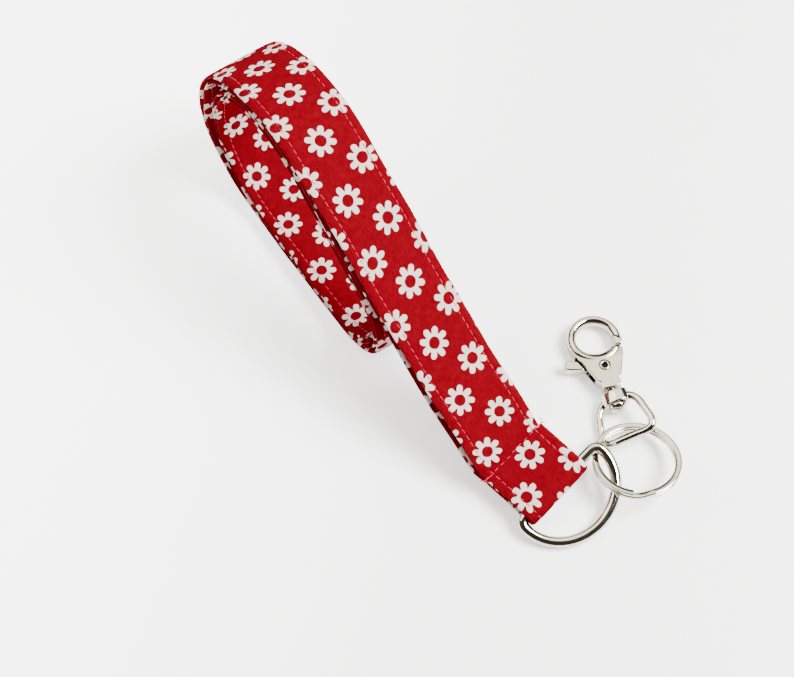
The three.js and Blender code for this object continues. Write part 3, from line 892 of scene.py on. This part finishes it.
def shade_by_angle(piece, degrees):
    """Smooth shading, except across edges sharper than the angle."""
    mesh = piece.data
    mesh.polygons.foreach_set("use_smooth", [True] * len(mesh.polygons))
    bm = bmesh.new()
    bm.from_mesh(mesh)
    for edge in bm.edges:
        edge.smooth = len(edge.link_faces) == 2 and edge.calc_face_angle(0) < math.radians(degrees)
    bm.to_mesh(mesh)
    bm.free()
    return piece


def move_to(piece, origin, turn):
    """Puts a mesh that was made about its own origin where it lies in the assembly."""
    matrix = Matrix(turn.tolist()).to_4x4()
    matrix.translation = Vector(np.asarray(origin, float) * MM)
    piece.data.transform(matrix)
    piece.data.update()
    return piece


# -------- D-ring and split ring
def d_ring():
    """One wire, from its joint in the middle of the bar, round the arc and back to it."""
    half = [(0, D_JOINT / 2), (0, D_HALF_WIDTH / 2), (0, D_HALF_WIDTH - D_CORNER - 1)]
    for t in np.linspace(0, math.pi / 2, 4):
        half.append((D_CORNER * (1 - math.cos(t)), D_HALF_WIDTH - D_CORNER * (1 - math.sin(t))))
    bow = [
        (D_CORNER + (D_DEPTH - D_CORNER) * math.sin(t), D_HALF_WIDTH * math.cos(t))
        for t in np.linspace(0, math.pi, 11)[1:-1]
    ]
    points = half + bow + [(x, -y) for x, y in half[::-1]]
    path = curve_through([(x, y + D_SHIFT, 0) for x, y in points])
    piece = solid("d_ring_wire", *tube(path, circle(D_WIRE)))
    return move_to(piece, bar_centre, rotation(TAB_YAW, D_DIP, TAB_ROLL))


def split_ring():
    """Two turns of flattened wire, with a step between them."""
    half_step = RING_CROSSOVER / 2
    angle = np.linspace(half_step, 720 - half_step, 420)
    rise = smooth((angle - 360 + half_step) / RING_CROSSOVER) - 0.5
    x, y = RING_RADIUS * np.cos(np.radians(angle)), RING_RADIUS * np.sin(np.radians(angle))
    path = np.column_stack([x, y, rise * RING_COIL_PITCH])
    piece = solid("split_ring_wire", *tube(path, rounded_bar(RING_WIRE_WIDTH, RING_WIRE_HEIGHT)))
    shade_by_angle(piece, 50)
    return move_to(piece, RING_CENTRE, rotation(RING_HIGH_SIDE, -RING_TILT, 0) @ rotation(RING_PHASE, 0, 0))


# -------- swivel eye, pin, clasp
swivel_centre = joint_point("clasp_swivel")
swivel_turn = rotation(SWIVEL_YAW, SWIVEL_DIP, 0)
eye_turn = swivel_turn @ rotation(0, 0, EYE_ROLL)


def box_object(name, low, high):
    """A block between two opposite corners."""
    x, y, z = zip(low, high)
    vertices = [(a, b, c) for a in x for b in y for c in z]
    faces = [(0, 1, 3, 2), (4, 6, 7, 5), (0, 4, 5, 1), (2, 3, 7, 6), (0, 2, 6, 4), (1, 5, 7, 3)]
    return solid(name, vertices, faces, smooth_shading=False)


def plate_object(name, outline, height):
    """An outline extruded to a plate centred on height zero."""
    count = len(outline)
    levels = [np.column_stack([outline, np.full(count, level)]) for level in (-height / 2, height / 2)]
    return solid(name, np.vstack(levels), wall(2, count) + caps(2, count), smooth_shading=False)


def upright(name, radius, height, sides=64):
    """A cylinder round the rivet's axis, centred on height zero."""
    return plate_object(name, circle(radius, sides) + (RIVET_X, 0), height)


def peg(start, end, radius):
    """The profile of a plain round bar."""
    return [(start, 0), (start, radius), (end, radius), (end, 0)]


def swivel_eye():
    """A D-shaped loop of wire that ends in an oval collar with a bore for the pin."""
    points = [(x, y, 0) for x, y in EYE_SIDE] + [(x, -y, 0) for x, y in EYE_SIDE[::-1]]
    piece = solid("swivel_eye_wire", *tube(curve_through(points), circle(EYE_WIRE)))
    end = COLLAR_LENGTH / 2
    quarter = np.radians(np.linspace(0, 90, 6))
    edge = [(COLLAR_LIP * (1 - math.cos(t)), COLLAR_LIP * math.sin(t)) for t in quarter]
    rim = [(x - end, COLLAR_HALF_HEIGHT - COLLAR_LIP + r) for x, r in edge]
    profile = [(-end, 0)] + rim + [(-x, r) for x, r in rim[::-1]] + [(end, 0)]
    collar = solid("collar", *turned(profile, 64))
    collar.data.transform(Matrix.Diagonal((1, COLLAR_HALF_WIDTH / COLLAR_HALF_HEIGHT, 1, 1)))
    combine(piece, [collar], "UNION")
    combine(piece, [solid("bore", *turned(peg(-9, 9, COLLAR_BORE)))], "DIFFERENCE")
    shade_by_angle(piece, 40)
    return move_to(piece, swivel_centre, eye_turn)


def swivel_pin():
    """A pin with a domed head inside the eye. Its shank is fixed in the clasp."""
    head = -COLLAR_LENGTH / 2 - GAP
    quarter = np.linspace(0, math.pi / 2, 12)
    dome = [(head - PIN_DOME * math.cos(t) ** 0.8, PIN_HEAD_RADIUS * math.sin(t)) for t in quarter]
    tail = BASE_START + 2
    piece = solid("swivel_pin_head", *turned(dome + peg(head, tail, PIN_RADIUS)[1:]))
    shade_by_angle(piece, 40)
    return move_to(piece, swivel_centre, swivel_turn)


def arc_points(x, y, radius, start, end, count):
    angle = np.radians(np.linspace(start, end, count))
    return [(x + radius * math.cos(t), y + radius * math.sin(t)) for t in angle]


def hook_envelope():
    """The casting's flat waist, which slopes down into the hook's rounded section."""
    side_view = [(-5, -2.2), (-5, 2.2), (11.8, 2.2), (19.5, 0.7), (19.5, -0.7), (11.8, -2.2)]
    waist = plate_object("waist", side_view, 30)
    waist.data.transform(Matrix.Rotation(math.radians(90), 4, "X"))
    middle = (HOOK_INNER + HOOK_OUTER) / 2
    path = np.column_stack([circle(middle, 96) + (HOOK_CENTRE, 0), np.zeros(96)])
    section_points = rounded_bar(HOOK_OUTER - HOOK_INNER + 0.1, BODY_THICKNESS, 2.15, 32)
    return combine(waist, [solid("hook_ring", *tube(path, section_points, closed=True))], "UNION")


def clasp_body():
    """The cast hook. Its waist is slotted for the lever, and the gate's sweep is cut from its nose."""
    flank = [(BASE_START, NECK[1]), NECK, FLANK_START]
    outline = [(x, -y) for x, y in flank]
    outline += HOOK_MOUTH
    outline += arc_points(HOOK_CENTRE, 0, HOOK_INNER, 228, -112, 72)
    outline += arc_points(HOOK_CENTRE, 0, HOOK_OUTER, -112, 112, 60)
    outline += flank[::-1]
    piece = bevelled(plate_object("clasp_body_casting", outline, BODY_THICKNESS), 1.0, 6, 25)
    combine(piece, [hook_envelope()], "INTERSECT")
    half = SLOT_HEIGHT / 2
    sweep = upright("sweep", GATE_SWEEP + GAP, 3 * BODY_THICKNESS, 96)
    nose = box_object("nose", (16, -10, -BODY_THICKNESS), (22, -3.5, BODY_THICKNESS))
    combine(sweep, [nose], "INTERSECT")
    cuts = [
        sweep,
        box_object("slot", (SLOT_ENDS[0], -10, -half), (SLOT_ENDS[1], 10, half)),
        box_object("gate_slot", (GATE_SLOT_ENDS[0], -10, -half), (GATE_SLOT_ENDS[1], -2, half)),
        upright("rivet_hole", RIVET_HOLE, 3 * BODY_THICKNESS),
        solid("pin_hole", *turned(peg(BASE_START - 1, BASE_START + 2.3, PIN_RADIUS + PIN_HOLE_ROOM))),
    ]
    combine(piece, cuts, "DIFFERENCE")
    shade_by_angle(piece, 28)
    return move_to(piece, swivel_centre, swivel_turn)


def bar_outline(x0, y0, x1, y1, width, corner=None):
    """A straight bar between two points. Its far end is round, or has corners of the given radius."""
    length = math.hypot(x1 - x0, y1 - y0)
    angle = math.degrees(math.atan2(y1 - y0, x1 - x0))
    corner = corner or width / 2
    inset = width / 2 - corner
    x = length + inset
    end = arc_points(x, -inset, corner, -90, 0, 9) + arc_points(x, inset, corner, 0, 90, 9)
    side = np.array([(0, -width / 2), *end, (0, width / 2)])
    turn = rotation(angle, 0, 0)[:2, :2]
    return side @ turn.T + (x0, y0)


def clasp_lever():
    """Hub, thumb pad and gate in one casting. The pad's side is cut to lie along the clasp's flank."""
    arms = [
        upright("hub", LEVER_HUB, LEVER_THICKNESS),
        plate_object("thumb_arm", bar_outline(RIVET_X, 0, 12.8, 9, THUMB_WIDTH - 0.6), LEVER_THICKNESS),
        plate_object("gate_arm", bar_outline(RIVET_X, 0, *GATE_ARM_END, 2.4), LEVER_THICKNESS),
        plate_object("gate_stem", bar_outline(*GATE_ARM_END, 16.6, -6.3, 2.36), LEVER_THICKNESS),
    ]
    for arm in arms:
        arm.data.transform(Matrix.Translation((0, 0, (LEVER_BOTTOM + LEVER_THICKNESS / 2) * MM)))
    gate = bevelled(box_object("gate", (16.2, -7.7, -1.6), (20, -5.3, 1.6)), 0.35, 3)
    reach = upright("reach", GATE_SWEEP, 3 * BODY_THICKNESS, 96)
    combine(gate, [reach], "INTERSECT")
    pad = plate_object("thumb_pad", bar_outline(11.6, 4.7, *THUMB_TIP, THUMB_WIDTH, 1.1), THUMB_HEIGHT)
    flank = box_object("flank", (-30, -30, -5), (30, FLANK_ROOM, 5))
    flank.data.transform(Matrix.Rotation(math.radians(FLANK_RISE), 4, "Z"))
    flank.data.transform(Matrix.Translation((FLANK_START[0] * MM, FLANK_START[1] * MM, 0)))
    bevelled(combine(pad, [flank], "DIFFERENCE"), 0.45, 4, 40)
    piece = arms[0]
    piece.name = "clasp_lever_casting"
    combine(piece, [*arms[1:], gate, pad], "UNION")
    combine(piece, [upright("lever_hole", RIVET_HOLE, 3 * BODY_THICKNESS)], "DIFFERENCE")
    shade_by_angle(piece, 28)
    return move_to(piece, swivel_centre, swivel_turn)


def lever_rivet():
    """A tube with its rims rolled, standing along Z, and painted near-black inside as the shade in its bore.
    """
    end = (BODY_THICKNESS + 0.1) / 2 - RIVET_ROLL
    roll = [(RIVET_ROLL * math.cos(t), RIVET_ROLL * math.sin(t)) for t in np.linspace(0, math.pi / 2, 6)]
    rim = [(end + b, RIVET_RADIUS - RIVET_ROLL + a) for a, b in roll]
    rim += [(end + b, RIVET_BORE + RIVET_ROLL - a) for a, b in roll[::-1]]
    piece = solid("lever_rivet_tube", *turned(rim + [(-x, r) for x, r in rim[::-1]]))
    shade_by_angle(piece, 50)
    piece.data.materials.append(bore_shade_plate)
    # Painted shade: the faces inside the bore get the near-black plate.
    for face in piece.data.polygons:
        corners = [piece.data.vertices[v].co for v in face.vertices]
        if all(math.hypot(c.y, c.z) < (RIVET_BORE + 0.1) * MM for c in corners):
            face.material_index = 1
    return move_to(piece, swivel_centre + RIVET_X * swivel_turn[:, 0], swivel_turn @ rotation(0, -90, 0))


def lever_spring():
    """A torsion spring round the rivet, above the lever."""
    turns = np.linspace(0, SPRING_TURNS, 120)
    angle = 2 * math.pi * turns
    x, y = SPRING_COIL * np.cos(angle), SPRING_COIL * np.sin(angle)
    path = np.column_stack([RIVET_X + x, y, 0.52 + 0.28 * turns])
    piece = solid("lever_spring_wire", *tube(path, circle(SPRING_WIRE, 10)), spring_steel)
    return move_to(piece, swivel_centre, swivel_turn)


def seam_stitches():
    """The row across the seam, on the strap's upper face, and its four loose ends of thread."""
    half_way = piece_ends[0] // 2
    i = half_way + int(np.argmin(np.abs(along[half_way : piece_ends[0]] - RUN_LENGTH - SEAM_INSET)))
    centre, normal, across = loop[i]
    way = unit(loop[i + 1, CENTRE] - loop[i - 1, CENTRE])
    places = []
    for n in range(SEAM_STITCHES):
        y = (n - (SEAM_STITCHES - 1) / 2) * STITCH_PITCH * 1.06
        slope = 0.02 * y + 0.1 * math.sin(1.7 * n)
        places.append((centre + y * across + slope * way + (MIDDLE - SEAM_SINK) * normal, across, normal))
    tails = []
    # Each tail's side of the strap, how far forwards and upwards it goes, and its length.
    for side, forward, up, length in (
        (1, 0.9, 0.5, 2.6),
        (1, -0.5, 0.2, 1.8),
        (-1, 0.7, -0.1, 2.4),
        (-1, -0.9, 0.3, 1.7),
    ):
        start = centre + side * (STRAP_WIDTH / 2 - 1) * across + (MIDDLE - 0.05) * normal
        out = side * across
        points = [start, start + 0.9 * out + 0.12 * normal]
        points.append(points[1] + 0.45 * length * (0.7 * out + 0.5 * forward * way + up * normal))
        points.append(points[2] + 0.45 * length * (0.3 * out + forward * way - 0.4 * up * normal))
        tails.append(tube(curve_through(points, 6), circle(TAIL_RADIUS, 8)))
    return places, tails


# -------- making the pieces
spans = dict(zip(("tab", "crown_upper", "coil", "crown_lower"), zip([0, *piece_ends], piece_ends)))
strap = {key: ribbon("strap_" + key, *span) for key, span in spans.items()}
seam_places, seam_tails = seam_stitches()
sewing = {}
for key, span in spans.items():
    places, tails = (seam_places, seam_tails) if key == "tab" else ([], [])
    sewing[key] = stitches("stitching_" + key, edge_stitches(*span) + places, tails)


for key in ("coil", "crown_upper", "crown_lower", "tab"):
    for piece in (strap[key], sewing[key]):
        if key == "coil":
            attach(piece, "coil")
        elif key == "tab":
            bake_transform(piece)
        else:
            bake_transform(piece)

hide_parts("coil_outer_ply_first_turn", "coil_inner_ply_first_turn")
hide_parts("coil_outer_ply_second_turn", "coil_inner_ply_second_turn", "strap_end_fold")
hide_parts("run_upper_ply")
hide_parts("run_lower_ply")
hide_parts("d_ring_tab")

for make, node, body in (
    (d_ring, "d_ring", "d_ring"),
    (split_ring, "split_ring", "split_ring"),
    (swivel_eye, "swivel_eye", "swivel_eye"),
    (swivel_pin, "swivel_pin", "clasp"),
    (clasp_body, "clasp_body", "clasp"),
    (clasp_lever, "clasp_lever", "lever"),
    (lever_rivet, "lever_rivet", "clasp"),
    (lever_spring, "lever_spring", "clasp"),
):
    piece = make()
    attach(piece, body)
    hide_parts(node)


# -------- floor, light and camera
AIM = (46.0, -5.0, 20.0)
VIEW_AZIMUTH = 55.4
VIEW_ELEVATION = 63.5
VIEW_DISTANCE = 398.5
LENS = 65.5

# Painted light: how strongly the paper glows, from right to left.
PAPER_GLOW = (0.8, 3.0)
PAPER_REACH = 20000
SKY = (0.09, 0.075, 0.06, 1)
SOFTBOX = (3.8, 3.6, 3.15, 1)
ROOM_BEHIND_CAMERA = (0.055, 0.046, 0.037, 1)


def floor():
    """White paper that glows with painted light so that it stays bright, and glows brighter towards the
    picture's left.
    """
    shader = Shader("pale_paper")
    place = shader.position()
    grain = shader.noise(place, 60, 3)
    colour = shader.mix(grain, (0.86, 0.865, 0.87, 1), (0.9, 0.9, 0.9, 1))
    shader.set(Base_Color=colour, Roughness=0.55, Specular_IOR_Level=0.3)
    # Painted light: the paper glows though it is no lamp, more towards the left.
    leftwards = shader.math("MULTIPLY", shader.math("ADD", *shader.split(place)), -1.0)
    glow = shader.ramp(leftwards, -0.12, 0.12, *PAPER_GLOW)
    shader.set(Emission_Color=(1, 1, 1, 1), Emission_Strength=glow)
    corners = [(x * PAPER_REACH, y * PAPER_REACH, 0) for x, y in ((-1, -1), (1, -1), (1, 1), (-1, 1))]
    return make_object("floor", corners, [(0, 1, 2, 3)], shader.material)


def direction(azimuth, elevation):
    """Towards an azimuth and elevation. Azimuth 0 is -Y and 90 is +X."""
    a, e = math.radians(azimuth), math.radians(elevation)
    return Vector((math.sin(a) * math.cos(e), -math.cos(a) * math.cos(e), math.sin(e)))


def stand(name, data, azimuth, elevation, distance):
    """A light or a camera that looks at the strap."""
    holder = bpy.data.objects.new(name, data)
    away = direction(azimuth, elevation)
    holder.location = (Vector(AIM) + away * distance) * MM
    holder.rotation_euler = away.to_track_quat("Z", "Y").to_euler()
    bpy.context.scene.collection.objects.link(holder)
    return holder


def area_light(name, azimuth, elevation, distance, size, watts, colour=(1, 1, 1)):
    """A soft rectangular light, with its size in metres."""
    lamp = bpy.data.lights.new(name, "AREA")
    lamp.shape = "RECTANGLE"
    lamp.size, lamp.size_y = size
    lamp.energy = watts
    lamp.color = colour
    stand(name, lamp, azimuth, elevation, distance)


def studio():
    """A pale room, dark behind the camera, with a soft light opposite it."""
    world = bpy.data.worlds.new("studio")
    world.use_nodes = True
    nodes = Nodes(world.node_tree)
    way = nodes.tree.nodes.new("ShaderNodeTexCoord").outputs["Generated"]
    colour = SKY
    for azimuth, patch, inner, outer in (
        (VIEW_AZIMUTH + 180, SOFTBOX, 20, 36),
        (VIEW_AZIMUTH, ROOM_BEHIND_CAMERA, 24, 38),
    ):
        edges = math.cos(math.radians(outer)), math.cos(math.radians(inner))
        share = nodes.ramp(nodes.dot(way, direction(azimuth, VIEW_ELEVATION)), *edges)
        colour = nodes.mix(share, colour, patch)
    nodes.put(colour, nodes.tree.nodes["Background"].inputs["Color"])
    bpy.context.scene.world = world


def camera():
    """A camera where the photograph's was."""
    lens = bpy.data.cameras.new("photo_view")
    lens.lens = LENS
    lens.sensor_width = 36
    lens.clip_start = 0.01
    bpy.context.scene.camera = stand("photo_view", lens, VIEW_AZIMUTH, VIEW_ELEVATION, VIEW_DISTANCE)


floor()
area_light("window", 148, 52, 950, (0.5, 0.42), 40)
area_light("left_fill", 305, 45, 1100, (0.7, 0.7), 9, (1, 0.97, 0.93))
studio()
camera()
